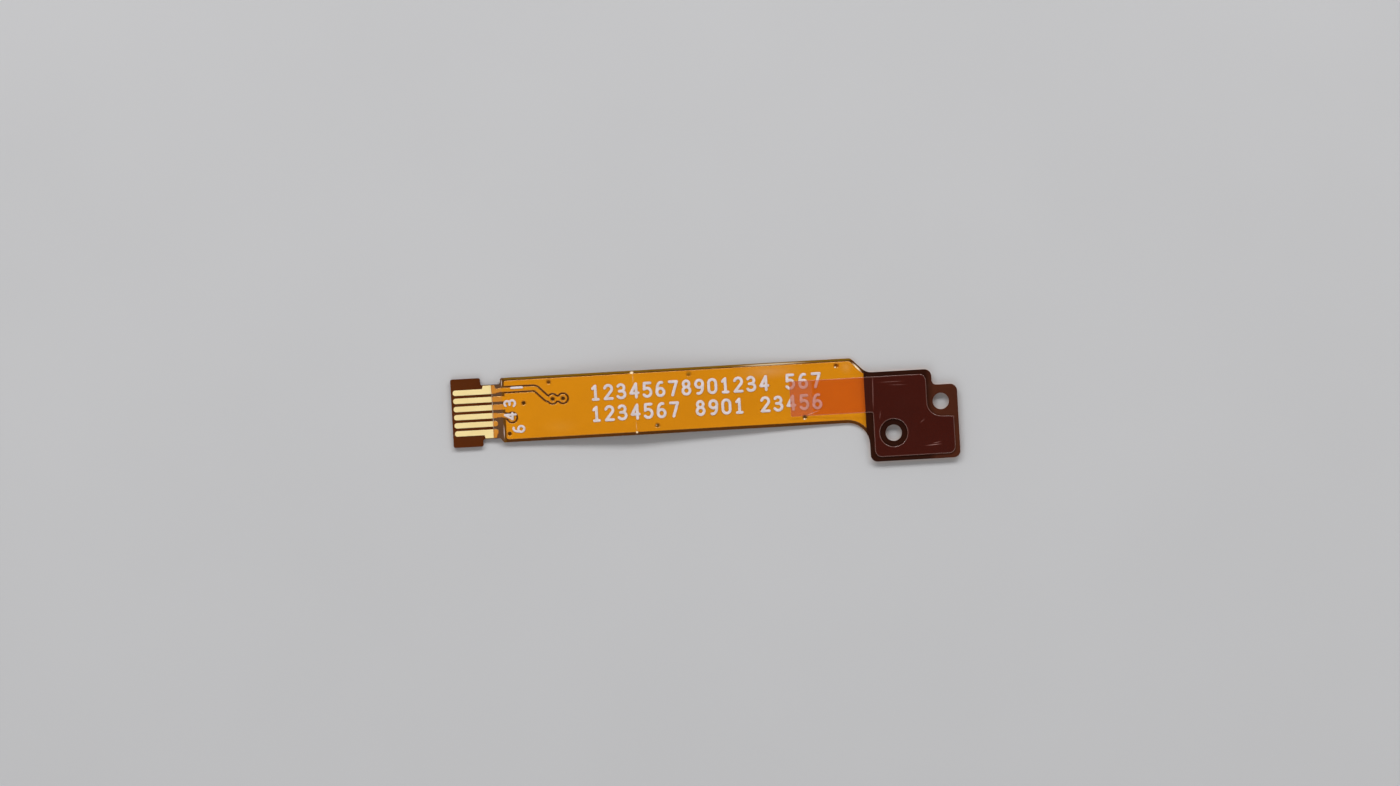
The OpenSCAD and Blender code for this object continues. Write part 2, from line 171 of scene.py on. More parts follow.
class Effect(Wiring):
    """The node group of a shared effect. The method of the effect's name fills it."""

    kinds: dict[str, str] = {"VALUE": "Float", "RGBA": "Color", "VECTOR": "Vector"}
    tone_span: Pair = (0.3, 0.7)
    scratched: float = 0.56
    steep: float = 0.5

    def __init__(self, shared: Shared) -> None:
        """Build the group.

        Args:
            shared: The effect.
        """
        super().__init__(bpy.data.node_groups.new(shared.value, "ShaderNodeTree"))
        spaces = self.add("TexCoord").outputs
        self.place, self.normal = spaces["Object"], spaces["Normal"]
        getattr(self, shared.value)()

    def take(self, **values: float | Colour | Vector) -> list[Socket]:
        """Args:
            **values: Their defaults by name: a float, a tuple for a colour or a Vector.

        Returns:
            What the inputs bring, in order.
        """
        for name, value in values.items():
            kind = {float: "Float", tuple: "Color", Vector: "Vector"}[type(value)]
            made = self.tree.interface.new_socket(name=name, in_out="INPUT", socket_type=f"NodeSocket{kind}")
            made.default_value = (*value, 1.0) if kind == "Color" else value
        return list(self.tree.nodes.new("NodeGroupInput").outputs)[:len(values)]

    def give(self, **sources: Socket) -> None:
        """Args:
            **sources: What the outputs give, by name.
        """
        for name, source in sources.items():
            kind = f"NodeSocket{self.kinds[source.type]}"
            self.tree.interface.new_socket(name=name, in_out="OUTPUT", socket_type=kind)
        result = self.tree.nodes.new("NodeGroupOutput")
        for name, source in sources.items():
            self.feed(result.inputs[name], source)

    def grain(self) -> None:
        """Give fine surface grain: a mask and a normal that vary."""
        scale, detail, height, distance = self.take(Scale=1000.0, Detail=3.0, Height=0.1, Distance=2e-6)
        noise = self.add("TexNoise", Vector=self.place, Scale=scale, Detail=detail).outputs["Fac"]
        bump = self.add("Bump", Strength=height, Distance=distance, Height=noise)
        self.give(Mask=noise, Normal=bump.outputs["Normal"])

    def tone(self) -> None:
        """Give a colour that drifts slowly between two tones."""
        light, dark, scale = self.take(Light=WHITE, Dark=(0.5, 0.5, 0.5), Scale=150.0)
        noise = self.add("TexNoise", Vector=self.place, Scale=scale, Detail=4.0).outputs["Fac"]
        low, high = self.tone_span
        drift = self.add("MapRange", Value=noise, From_Min=low, From_Max=high).outputs["Result"]
        self.give(Colour=self.mix(drift, dark, light))

    def scratches(self) -> None:
        """Give fine straight scratches in patches: a mask that is 1 on them."""
        scale, stretch, turn, amount = self.take(Scale=400.0, Stretch=12.0, Turn=0.4, Amount=0.03)
        squeeze = self.add("CombineXYZ", self.math("DIVIDE", 1.0, stretch), 1.0, 1.0).outputs["Vector"]
        across = self.vector("MULTIPLY", self.turned(self.place, turn), squeeze)
        cells = self.add("TexVoronoi", Vector=across, Scale=scale, settings={"feature": "DISTANCE_TO_EDGE"})
        patches = self.add("TexNoise", Vector=self.place, Scale=scale, Detail=1.0).outputs["Fac"]
        line = self.math("LESS_THAN", cells.outputs["Distance"], amount)
        self.give(Mask=self.math("MULTIPLY", line, self.math("GREATER_THAN", patches, self.scratched)))

    def beyond(self) -> None:
        """Give a mask that goes from 0 to 1 where a point passes a place along a direction."""
        direction, place, soft = self.take(Direction=Vector((1.0, 0.0, 0.0)), Place=0.0, Soft=1e-5)
        along = self.vector("DOT_PRODUCT", self.place, direction, output="Value")
        self.give(Mask=self.math("DIVIDE", self.math("SUBTRACT", along, place), soft, clamp=True))

    def facing(self) -> None:
        """Give masks of a piece's upright edges, its upper faces and its lower faces."""
        z = self.add("SeparateXYZ", self.normal).outputs["Z"]
        self.give(
            Upright=self.math("LESS_THAN", self.math("ABSOLUTE", z), self.steep),
            Up=self.math("GREATER_THAN", z, self.steep),
            Down=self.math("LESS_THAN", z, -self.steep),
        )

    def spot(self) -> None:
        """Give a mask that is 1 inside an ellipse seen from above and falls to 0 at its border."""
        centre, size, turn, soft = self.take(
            Centre=Vector((0.0, 0.0, 0.0)), Size=Vector((1.0, 1.0, 1.0)), Turn=0.0, Soft=0.5)
        away = self.turned(self.vector("SUBTRACT", self.place, centre), turn)
        length = self.vector("LENGTH", self.vector("DIVIDE", away, size), output="Value")
        self.give(Mask=self.math("DIVIDE", self.math("SUBTRACT", 1.0, length), soft, clamp=True))


@cache
def shared_tree(shared: Shared) -> Tree:
    """Return a shared effect's node group, and build it the first time."""
    return Effect(shared).tree


# ---- Finishes ----


class Shader(Wiring):
    """A material with one Principled shader."""

    def __init__(self, name: str) -> None:
        """Start a material.

        Args:
            name: Its name.
        """
        self.material = bpy.data.materials.new(name)
        self.material.use_nodes = True
        super().__init__(self.material.node_tree)
        self.base = self.tree.nodes["Principled BSDF"]

    def effect(self, shared: Shared, **values: Value) -> bpy.types.bpy_prop_collection:
        """Place a shared effect with these input values, and return its outputs."""
        return self.add("Group", settings={"node_tree": shared_tree(shared)}, **values).outputs

    def tone(self, light: Colour, dark: Colour, scale: float) -> Socket:
        """Return a colour that drifts between two tones."""
        return self.effect(Shared.TONE, Light=light, Dark=dark, Scale=scale)["Colour"]

    def set(self, **values: Value) -> None:
        """Feed the Principled shader's inputs, with underscores for the spaces in their names."""
        for name, value in values.items():
            self.feed(self.base.inputs[name.replace("_", " ")], value)

    def blend(self, share: Socket, first: Node, second: Node) -> Node:
        """Blend two shader nodes: a share of 1 is all of the second."""
        return self.add("MixShader", share, first.outputs[0], second.outputs[0])

    def see_through(self, haze_and_highlights: Number, edges: Socket, covered: Socket, tint: Colour, gloss: Node,
                    bend: float) -> None:
        """Let what lies below show through the piece's outer face, tinted, under a clear gloss.

        Args:
            haze_and_highlights: The share of the film's own colour.
            edges: 1 where the film is cut and shows its colour alone.
            covered: 1 on the face that lies on something, which is clear.
            tint: What the film does to the light that passes.
            gloss: The shader of its gloss.
            bend: The index of refraction that sets how strong the gloss is.
        """
        front = self.math("SUBTRACT", 1.0, self.add("NewGeometry").outputs["Backfacing"])
        outer = self.math("MULTIPLY", front, self.math("SUBTRACT", 1.0, covered))
        clear = self.add("BsdfTransparent", Color=self.mix(outer, WHITE, tint))
        share = self.math("MULTIPLY", outer, self.math("MAXIMUM", edges, haze_and_highlights))
        shine = self.math("MULTIPLY", outer, self.add("Fresnel", IOR=bend).outputs[0])
        whole = self.blend(shine, self.blend(share, clear, self.base), gloss)
        self.feed(self.tree.nodes["Material Output"].inputs["Surface"], whole.outputs[0])


@dataclass(frozen=True)
class CopperFinish:
    """Copper that is gold-plated where bare and seen through amber adhesive elsewhere."""

    name: str = "plated_copper"
    bare_until: float = 0.0
    gold_light: Colour = (0.98, 0.79, 0.38)
    gold_dark: Colour = (0.94, 0.73, 0.33)
    buried_light: Colour = (0.81, 0.59, 0.18)
    buried_dark: Colour = (0.73, 0.51, 0.14)

    def material(self) -> Material:
        """Build the material: two metals that meet where the coverlay begins.

        Returns:
            The material.
        """
        shader = Shader(self.name)
        gold = shader.tone(self.gold_light, self.gold_dark, 900.0)
        buried = shader.tone(self.buried_light, self.buried_dark, 200.0)
        beyond = shader.effect(Shared.BEYOND, Place=self.bare_until, Soft=1e-5)
        grain = shader.effect(Shared.GRAIN, Scale=9000.0, Detail=4.0, Height=0.35, Distance=1.5e-6)
        shader.set(
            Base_Color=shader.mix(beyond["Mask"], gold, buried), Normal=grain["Normal"],
            Roughness=shader.math("MULTIPLY_ADD", grain["Mask"], 0.18, 0.30), Metallic=0.15)
        return shader.material


class Side(Enum):
    """The side of a film that is seen. Its other side lies on what it covers, and is clear."""

    UPPER = "Down"
    LOWER = "Up"


@dataclass(frozen=True)
class Zone:
    """A part of a piece with other tones, past a place along a direction; on the base film, some stand for
    painted light and shade.
    """

    light: Colour
    dark: Colour
    place: float
    soft: float = 1e-5
    direction: tuple[float, float, float] = (1.0, 0.0, 0.0)


@dataclass(frozen=True)
class Mark:
    """A soft ellipse on a film. Some are painted highlights and glints, as on creases and edges; others are
    real rubs and specks.

    Sizes are in millimetres, the place from the coverlay's near end on the cable's middle line.
    """

    x: float
    y: float
    across: float
    up: float
    strength: float
    turn: float = 0.0
    soft: float = 0.6
    # Pale: the colour of a painted highlight.
    colour: Colour = (0.95, 0.80, 0.55)


@dataclass(frozen=True)
class FilmFinish:
    """Clear tinted film with a gloss, such as a coverlay or a liner.

    The sheen is a painted reflection: another colour that the film shows more of up to a place along the
    cable.
    """

    name: str
    tint: Colour
    light: Colour
    dark: Colour
    haze_and_highlights: float
    side: Side = Side.UPPER
    sheen_until: float = -1.0
    sheen: float = 0.0
    sheen_colour: Colour = WHITE
    roughness: float = 0.16
    grain_scale: float = 1500.0
    grain_height: float = 0.10
    scratch_amount: float = 0.0
    bend: float = 1.6
    shine: Colour = WHITE
    origin: Point = (0.0, 0.0)
    marks: tuple[Mark, ...] = ()

    def material(self) -> Material:
        """Build the material: a tint, a thin share of its own colour with painted sheen and highlights, and a
        gloss with fine grain.

        Returns:
            The material.
        """
        shader = Shader(self.name)
        colour = shader.tone(self.light, self.dark, 300.0)
        grain = shader.effect(Shared.GRAIN, Scale=self.grain_scale, Detail=3.0, Height=self.grain_height,
                              Distance=4e-6)
        haze_and_highlights: Number = self.haze_and_highlights
        # Painted reflection: up to its place along the cable, the film shows more of the sheen's colour.
        if self.sheen:
            beyond = shader.effect(Shared.BEYOND, Place=self.sheen_until, Soft=6e-5)["Mask"]
            haze_and_highlights = shader.math("MULTIPLY_ADD", beyond, self.haze_and_highlights - self.sheen, self.sheen)
            colour = shader.mix(beyond, self.sheen_colour, colour)
        rough = shader.math("MULTIPLY_ADD", grain["Mask"], 0.12, self.roughness - 0.05)
        if self.scratch_amount:
            scratches = shader.effect(Shared.SCRATCHES, Scale=420.0, Stretch=9.0, Turn=0.5,
                                      Amount=self.scratch_amount)["Mask"]
            haze_and_highlights = shader.math("MULTIPLY_ADD", scratches, 0.10, haze_and_highlights)
            rough = shader.math("MULTIPLY_ADD", scratches, 0.3, rough)
        # Each mark raises the share of the film's own colour and mixes in the mark's colour: most marks are
        # painted highlights and glints, the dark ones real specks.
        for mark in self.marks:
            centre = (self.origin[0] + mark.x * MM, self.origin[1] + mark.y * MM, 0.0)
            spot = shader.effect(Shared.SPOT, Centre=centre, Size=(mark.across * MM, mark.up * MM, 1.0),
                                 Turn=-math.radians(mark.turn), Soft=mark.soft)["Mask"]
            haze_and_highlights = shader.math("MULTIPLY_ADD", spot, mark.strength, haze_and_highlights)
            share = shader.math("MULTIPLY", spot, min(1.0, 0.4 + mark.strength))
            colour = shader.mix(share, colour, mark.colour)
        shader.set(Base_Color=colour, Normal=grain["Normal"], Roughness=0.4, Specular_IOR_Level=0.0)
        gloss = shader.add("BsdfGlossy", Color=self.shine, Roughness=rough, Normal=grain["Normal"])
        facing = shader.effect(Shared.FACING)
        shader.see_through(haze_and_highlights, facing["Upright"], facing[self.side.value], self.tint, gloss, self.bend)
        return shader.material


@dataclass(frozen=True)
class SheetFinish:
    """Opaque laminate, film or adhesive, whose tones may differ from zone to zone."""

    name: str
    light: Colour
    dark: Colour
    zones: tuple[Zone, ...] = ()
    roughness: float = 0.35
    gloss: float = 0.25
    scratch_amount: float = 0.0
    tone_scale: float = 420.0

    def material(self) -> Material:
        """Build the material: drifting tones, a fine grain and a few scratches.

        Returns:
            The material.
        """
        shader = Shader(self.name)
        grain = shader.effect(Shared.GRAIN, Scale=5000.0, Detail=4.0, Height=0.25, Distance=3e-6)
        rough = shader.math("MULTIPLY_ADD", grain["Mask"], 0.2, self.roughness - 0.1)
        if self.scratch_amount:
            scratches = shader.effect(Shared.SCRATCHES, Scale=500.0, Stretch=14.0, Turn=-0.7,
                                      Amount=self.scratch_amount)["Mask"]
            rough = shader.math("MULTIPLY_ADD", scratches, 0.25, rough)
        shader.set(Base_Color=self.tones(shader), Roughness=rough, Normal=grain["Normal"],
                   Specular_IOR_Level=self.gloss)
        return shader.material

    def tones(self, shader: Shader) -> Socket:
        """Lay a drifting tone and, past their places, the zones' tones.

        Args:
            shader: The material's shader.

        Returns:
            The colour.
        """
        colour = shader.tone(self.light, self.dark, self.tone_scale)
        for zone in self.zones:
            tone = shader.tone(zone.light, zone.dark, self.tone_scale)
            beyond = shader.effect(Shared.BEYOND, Direction=zone.direction, Place=zone.place, Soft=zone.soft)
            colour = shader.mix(beyond["Mask"], colour, tone)
        return colour


@dataclass(frozen=True)
class InkFinish:
    """White screen-printed ink, slightly uneven."""

    name: str = "white_ink"
    light: Colour = (0.70, 0.62, 0.62)
    dark: Colour = (0.56, 0.48, 0.47)

    def material(self) -> Material:
        """Build the material: matt white with thin spots.

        Returns:
            The material.
        """
        shader = Shader(self.name)
        grain = shader.effect(Shared.GRAIN, Scale=12000.0, Detail=3.0, Height=0.5, Distance=2e-6)
        tone = shader.tone(self.light, self.dark, 3500.0)
        shader.set(Base_Color=tone, Normal=grain["Normal"], Roughness=0.55)
        return shader.material


# ---- Modelling helpers ----

# Pieces are shaped a thousand times their size, in millimetres, so that a film a few hundredths thick
# is well above the operators' tolerances, and go back to metres when they settle.


def pick(obj: Object) -> None:
    """Deselect everything, then select this object alone and make it active.

    Args:
        obj: The object.
    """
    if bpy.context.object and bpy.context.object.mode != "OBJECT":
        bpy.ops.object.mode_set(mode="OBJECT")
    bpy.ops.object.select_all(action="DESELECT")
    obj.select_set(True)
    bpy.context.view_layer.objects.active = obj


@contextmanager
def editing(obj: Object, wanted: FaceTest | None = None) -> Iterator[None]:
    """Hold a piece in edit mode with everything selected, or just the wanted faces.

    Args:
        obj: The piece.
        wanted: Says of a face whether it is selected.

    Yields:
        Nothing, while the piece is in edit mode.
    """
    pick(obj)
    bpy.ops.object.mode_set(mode="EDIT")
    if wanted:
        bpy.ops.mesh.select_mode(type="FACE")
        bpy.ops.mesh.select_all(action="DESELECT")
        bpy.ops.object.mode_set(mode="OBJECT")
        for face in obj.data.polygons:
            face.select = wanted(face)
        bpy.ops.object.mode_set(mode="EDIT")
    else:
        bpy.ops.mesh.select_all(action="SELECT")
    yield
    bpy.ops.object.mode_set(mode="OBJECT")


def applied(obj: Object, kind: str, **settings: object) -> None:
    """Give a piece a modifier and apply it.

    Args:
        obj: The piece.
        kind: The modifier's type.
        **settings: The modifier's settings.
    """
    pick(obj)
    modifier = obj.modifiers.new(kind.lower(), kind)
    for name, setting in settings.items():
        setattr(modifier, name, setting)
    bpy.ops.object.modifier_apply(modifier=modifier.name)


def rescale(obj: Object, factor: float) -> None:
    """Scale a piece about the origin, in its mesh.

    Args:
        obj: The piece.
        factor: How many times larger it becomes.
    """
    pick(obj)
    obj.scale = (factor, factor, factor)
    bpy.ops.object.transform_apply(location=False, rotation=False, scale=True)


def cad_copy(source: Object, name: str) -> Object:
    """Copy a node of the frame at working size, with its loose triangles merged into flat faces.

    Args:
        source: The node's object.
        name: The copy's name.

    Returns:
        The merged copy.
    """
    pick(source)
    bpy.ops.object.duplicate()
    copy = bpy.context.object
    copy.name = name
    copy.parent = None
    for key in list(copy.keys()):
        del copy[key]
    rescale(copy, 1 / MM)
    with editing(copy):
        bpy.ops.mesh.customdata_custom_splitnormals_clear()
        bpy.ops.mesh.remove_doubles(threshold=2e-4)
        bpy.ops.mesh.dissolve_limited(angle_limit=math.radians(0.05))
    return copy


def shift_faces(obj: Object, up: bool, rise: float) -> None:
    """Move all upward or all downward faces along Z.

    Args:
        obj: The piece.
        up: True for the upward faces and False for the downward ones.
        rise: How far they move.
    """
    sign = 1.0 if up else -1.0
    with editing(obj, lambda face: face.normal.z * sign > LEVEL):
        bpy.ops.transform.translate(value=(0.0, 0.0, rise))


def joined(pieces: Sequence[Object], name: str) -> Object:
    """Make several pieces one object.

    Args:
        pieces: The pieces.
        name: The object's name.

    Returns:
        The object.
    """
    pick(pieces[0])
    for piece in pieces[1:]:
        piece.select_set(True)
    if len(pieces) > 1:
        bpy.ops.object.join()
    bpy.context.object.name = name
    return bpy.context.object


def terraced(obj: Object, wanted: FaceTest,
             steps: Sequence[Pair]) -> None:
    """Inset faces and raise what is inside, step by step, so that their border slopes.

    The border gets the piece's second material.

    Args:
        obj: The piece.
        wanted: Says of a face whether it is raised.
        steps: The width and the rise of each step.
    """
    with editing(obj, wanted):
        for material, moves in ((1, steps), (0, ())):
            bpy.ops.object.mode_set(mode="OBJECT")
            for face in obj.data.polygons:
                if face.select:
                    face.material_index = material
            bpy.ops.object.mode_set(mode="EDIT")
            for width, rise in moves:
                bpy.ops.mesh.inset(thickness=width, depth=0.0, use_even_offset=True)
                bpy.ops.transform.translate(value=(0.0, 0.0, rise))


def bevelled(obj: Object, width: float, angle: float = 50.0) -> None:
    """Round a piece's edges that are sharper than an angle in degrees."""
    applied(obj, "BEVEL", width=width, segments=2, limit_method="ANGLE", angle_limit=math.radians(angle),
            use_clamp_overlap=False)


def dress(obj: Object, *materials: Material) -> None:
    """Give a piece its materials, and keep which face has which.

    Args:
        obj: The piece.
        *materials: The materials of its slots.
    """
    chosen = [face.material_index for face in obj.data.polygons]
    obj.data.materials.clear()
    for material in materials:
        obj.data.materials.append(material)
    if len(materials) > 1:
        for face, index in zip(obj.data.polygons, chosen):
            face.material_index = index


def smoothed(obj: Object, angle: float = 60.0) -> None:
    """Shade a piece smooth, with its large faces flat.

    Args:
        obj: The piece.
        angle: Edges sharper than this, in degrees, stay sharp.
    """
    pick(obj)
    bpy.ops.object.shade_smooth_by_angle(angle=math.radians(angle))
    applied(obj, "WEIGHTED_NORMAL", keep_sharp=True, weight=100)


def settle(obj: Object, slot: str, *nodes: str) -> None:
    """Bring a new piece to its real size, ride it on the cable and let it stand for its nodes.

    Args:
        obj: The piece, at working size.
        slot: The record's material slot; not used.
        *nodes: The nodes that it stands for.
    """
    rescale(obj, MM)
    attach(obj, "root")
    if nodes:
        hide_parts(*nodes)
    LOG.info("%s: %d faces", obj.name, len(obj.data.polygons))


def middle_line() -> float:
    """Return the y of the contacts' middle line, from which the marks and the print are placed."""
    low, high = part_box("contact_stiffener")
    return (low[1] + high[1]) / 2


class Bow:
    """The smooth side view that all the cable's layers follow. Sizes are in millimetres."""

    line: float = 0.5
    step: float = 0.1
    spread: int = 4

    def __init__(self, name: str, layer: Object) -> None:
        """Sample the underside of a layer along the cable.

        Args:
            name: The name of a node that runs the whole length.
            layer: Its object.
        """
        low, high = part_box(name)
        self.start = low[0] / MM
        count = int((high[0] - low[0]) / MM / self.step)
        self.heights: list[float] = []
        for number in range(count + 1):
            x = (self.start + min(max(number, 0.5), count - 0.5) * self.step) * MM
            hit, where, _, _ = layer.ray_cast(Vector((x, self.line * MM, low[2] - MM)), UP)
            self.heights.append(where.z / MM if hit else self.heights[-1])

    def slope(self, x: float) -> float:
        """Work out the bow's rise per length.

        Args:
            x: The place along the cable.

        Returns:
            The rise.
        """
        place = (x - self.start) / self.step
        last = len(self.heights) - 1
        ends = [self.height(min(max(place + side * self.spread, 0.0), last)) for side in (-1, 1)]
        return (ends[1] - ends[0]) / (2 * self.spread * self.step)

    def height(self, place: float) -> float:
        """Return the height at a place that is counted in samples and may lie between two of them."""
        first = min(int(place), len(self.heights) - 2)
        return self.heights[first] * (first + 1 - place) + self.heights[first + 1] * (place - first)

    def shade(self, obj: Object, angle: float = 40.0) -> None:
        """Shade a piece smooth, with its level faces turned exactly as the bow turns.

        Args:
            obj: The piece, at working size.
            angle: Edges sharper than this, in degrees, stay sharp.
        """
        pick(obj)
        bpy.ops.object.shade_smooth_by_angle(angle=math.radians(angle))
        mesh = obj.data
        side = {}
        for face in mesh.polygons:
            if abs(face.normal.z) > FLAT:
                for vertex in face.vertices:
                    side[vertex] = math.copysign(1.0, face.normal.z)
        normals = [Vector((0.0, 0.0, 0.0))] * len(mesh.loops)
        for face in mesh.polygons:
            if abs(face.normal.z) < TILTED:
                continue
            for loop in face.loop_indices:
                vertex = mesh.loops[loop].vertex_index
                if side.get(vertex, 0.0) * face.normal.z > 0.0:
                    rise = self.slope(mesh.vertices[vertex].co.x)
                    normals[loop] = Vector((-rise, 0.0, 1.0)).normalized() * side[vertex]
        mesh.normals_split_custom_set(normals)


# ---- Sub-assemblies ----

# Their sizes are in millimetres. Places in the frame, such as bare_until, where the coverlay begins, are
# in metres, and so is the stage further down.


@dataclass
class Films:
    """The base film, the two coverlays and their adhesive."""

    nodes: dict[str, Object]
    bow: Bow
    bare_until: float
    dip: float = 0.024
    film: float = 0.025
    lap: float = 0.01
    step: float = 0.002
    sunk: float = 0.005
    slope: tuple[Pair, ...] = ((0.014, 0.0075), (0.016, 0.0045))
    clear: float = 0.001
    # How far the coverlay's painted reflection reaches from its near end.
    sheen_reach: float = 0.62
    neck: float = 0.8
    margin: float = 1.9
    glint: Colour = (0.75, 0.62, 0.60)
    speck: Colour = (0.10, 0.04, 0.01)
    # Marks on the upper coverlay, in order: a painted sheen and a painted highlight line along the upper
    # margin towards the pad; painted glints on both margins at the bow's crest; two lighter amber patches; a
    # painted double glint along the slanted shoulder; painted glints beside three vias; painted glints along
    # the copper's near edge and a painted highlight along the coverlay's near edge; two real dark specks.
    marks: tuple[Mark, ...] = (
        Mark(17.0, 1.50, 2.3, 0.55, 0.12, soft=1.0),
        Mark(17.3, 1.93, 2.8, 0.07, 0.50),
        Mark(8.67, 1.90, 0.16, 0.11, 0.85),
        Mark(8.72, 1.55, 0.06, 0.50, 0.30, soft=1.0),
        Mark(8.80, -1.76, 0.10, 0.09, 0.80),
        Mark(8.78, -1.40, 0.05, 0.45, 0.30, soft=1.0),
        Mark(21.8, 1.50, 0.45, 0.50, 0.12, soft=1.0, colour=(0.95, 0.70, 0.35)),
        Mark(4.1, -1.15, 1.3, 0.55, 0.05, soft=1.0, colour=(0.90, 0.55, 0.15)),
        Mark(22.47, 1.44, 0.50, 0.080, 0.75, turn=-48.6),
        Mark(22.60, 1.56, 0.42, 0.040, 0.45, turn=-48.6),
        Mark(21.14, 1.53, 0.08, 0.07, 0.85),
        Mark(19.09, -1.53, 0.09, 0.08, 0.90),
        Mark(10.01, -1.40, 0.05, 0.05, 0.60),
        Mark(0.66, -1.28, 0.035, 0.55, 0.60, colour=glint),
        Mark(0.66, 1.72, 0.035, 0.28, 0.60, colour=glint),
        Mark(0.03, 0.0, 0.030, 1.70, 0.35, soft=0.4, colour=(0.70, 0.58, 0.45)),
        Mark(17.07, 0.63, 0.06, 0.05, 0.8, colour=speck),
        Mark(16.42, -0.80, 0.06, 0.05, 0.8, colour=speck),
    )

    def build(self) -> None:
        """Make the relief of the upper coverlay, and finish every film."""
        middle = middle_line()
        # The coverlay's sheen is a painted grey-purple reflection on its first part from the near end.
        cover = FilmFinish(
            "amber_film", tint=(0.94, 0.47, 0.010), light=(0.62, 0.22, 0.002), dark=(0.54, 0.18, 0.001),
            haze_and_highlights=0.08, sheen_until=self.bare_until + self.sheen_reach * MM, sheen=0.17,
            sheen_colour=(0.28, 0.17, 0.14), origin=(self.bare_until, middle), marks=self.marks,
        )
        slope = replace(cover, name="amber_slope", tint=(0.60, 0.24, 0.006), haze_and_highlights=0.03, sheen=0.04,
                        roughness=0.11, bend=1.9, shine=(1.0, 0.74, 0.34))
        under = replace(cover, name="lower_amber_film", side=Side.LOWER, sheen=0.0, marks=())
        back = (-1.0, 0.0, 0.0)
        # Base film tones. Painted light: the upper margin's olive stands for the lit floor seen through the
        # clear film, and the grey-purple by the coverlay's near end for light through the bare film and its
        # reflection. Painted shade: the dark brown elsewhere also stands for the lower margin in shade. The
        # brown at the contact end is the stiffener seen through the film.
        base = SheetFinish(
            "base_film", (0.050, 0.020, 0.004), (0.034, 0.013, 0.003),
            zones=(
                Zone((0.19, 0.20, 0.11), (0.15, 0.15, 0.08), middle + self.margin * MM,
                     direction=(0.0, 1.0, 0.0)),
                Zone((0.105, 0.080, 0.085), (0.075, 0.055, 0.060), -self.bare_until - self.neck * MM,
                     direction=back),
                Zone((0.100, 0.022, 0.002), (0.070, 0.014, 0.001), -self.bare_until, direction=back),
            ), roughness=0.4, gloss=0.12,
        )
        depth = (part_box("base_film")[0][2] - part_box("bottom_coverlay")[0][2]) / MM
        self.coverlay(cover.material(), slope.material())
        self.sheet("bottom_coverlay", "coverlay", under, depth - self.film - self.clear, "lower_bond")
        self.sheet("base_film", "polyimide_film", base, 0.0)

    def sheet(self, name: str, slot: str, finish: FilmFinish | SheetFinish, rise: float, *bonds: str) -> None:
        """Make a layer whose faces follow the bow smoothly, in one with the adhesive above it.

        Args:
            name: The layer's node.
            slot: The record's material slot.
            finish: Its finish.
            rise: How far its upper faces rise to take in the adhesive.
            *bonds: The adhesive's nodes.
        """
        piece = cad_copy(self.nodes[name], f"{name}_sheet")
        shift_faces(piece, True, rise)
        self.bow.shade(piece)
        dress(piece, finish.material())
        settle(piece, slot, name, *bonds)

    def coverlay(self, material: Material, slope: Material) -> None:
        """Shape the upper coverlay with its adhesive, which stands over the copper and dips between it.

        Args:
            material: The level film's material.
            slope: The material of the film's slopes along the copper's edges.
        """
        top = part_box("top_coverlay")[1][2] / MM
        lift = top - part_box("ground_plane")[1][2] / MM
        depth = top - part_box("base_film")[1][2] / MM
        film = cad_copy(self.nodes["top_coverlay"], "coverlay_relief")
        dress(film, material, slope)
        shift_faces(film, True, -self.dip)
        shift_faces(film, False, self.film - depth + self.clear)
        raised = []
        for name in UPPER_COPPER:
            piece = cad_copy(self.nodes[name], f"{name}_raised")
            dress(piece, material, slope)
            with editing(piece):
                bpy.ops.mesh.bisect(plane_co=(self.bare_until / MM + self.lap, 0.0, 0.0),
                                    plane_no=(1.0, 0.0, 0.0), use_fill=True, clear_inner=True)
                bpy.ops.mesh.select_all(action="SELECT")
                bpy.ops.transform.translate(value=(0.0, 0.0, lift - self.dip + self.step))
            shift_faces(piece, False, self.sunk)
            for face in piece.data.polygons:
                face.material_index = 1
            raised.append(piece)
        lands = joined(raised, "raised")
        applied(film, "BOOLEAN", operation="UNION", solver="EXACT", object=lands)
        bpy.data.objects.remove(lands)
        terraced(film, lambda face: face.material_index == 1 and face.normal.z > LEVEL, self.slope)
        self.bow.shade(film)
        settle(film, "coverlay", "top_coverlay", "upper_bond")


@dataclass
class Copper:
    """The etched copper of both sides and the vias that join them."""

    nodes: dict[str, Object]
    bow: Bow
    bare_until: float
    edge: float = 0.012
    plated: tuple[str, ...] = ("signal_track_one", "signal_track_four", "spare_contacts")

    def build(self) -> None:
        """Round the copper's etched edges, and plate it."""
        upper = CopperFinish(bare_until=self.bare_until).material()
        lower = CopperFinish(name="landed_copper", bare_until=-1.0).material()
        for name in (*UPPER_COPPER, *LOWER_COPPER):
            piece = cad_copy(self.nodes[name], f"{name}_etched")
            bevelled(piece, self.edge)
            self.bow.shade(piece)
            dress(piece, upper if name in UPPER_COPPER else lower)
            settle(piece, "gold_plated_copper" if name in self.plated else "copper", name)
        dress(self.nodes["via_barrels"], upper)


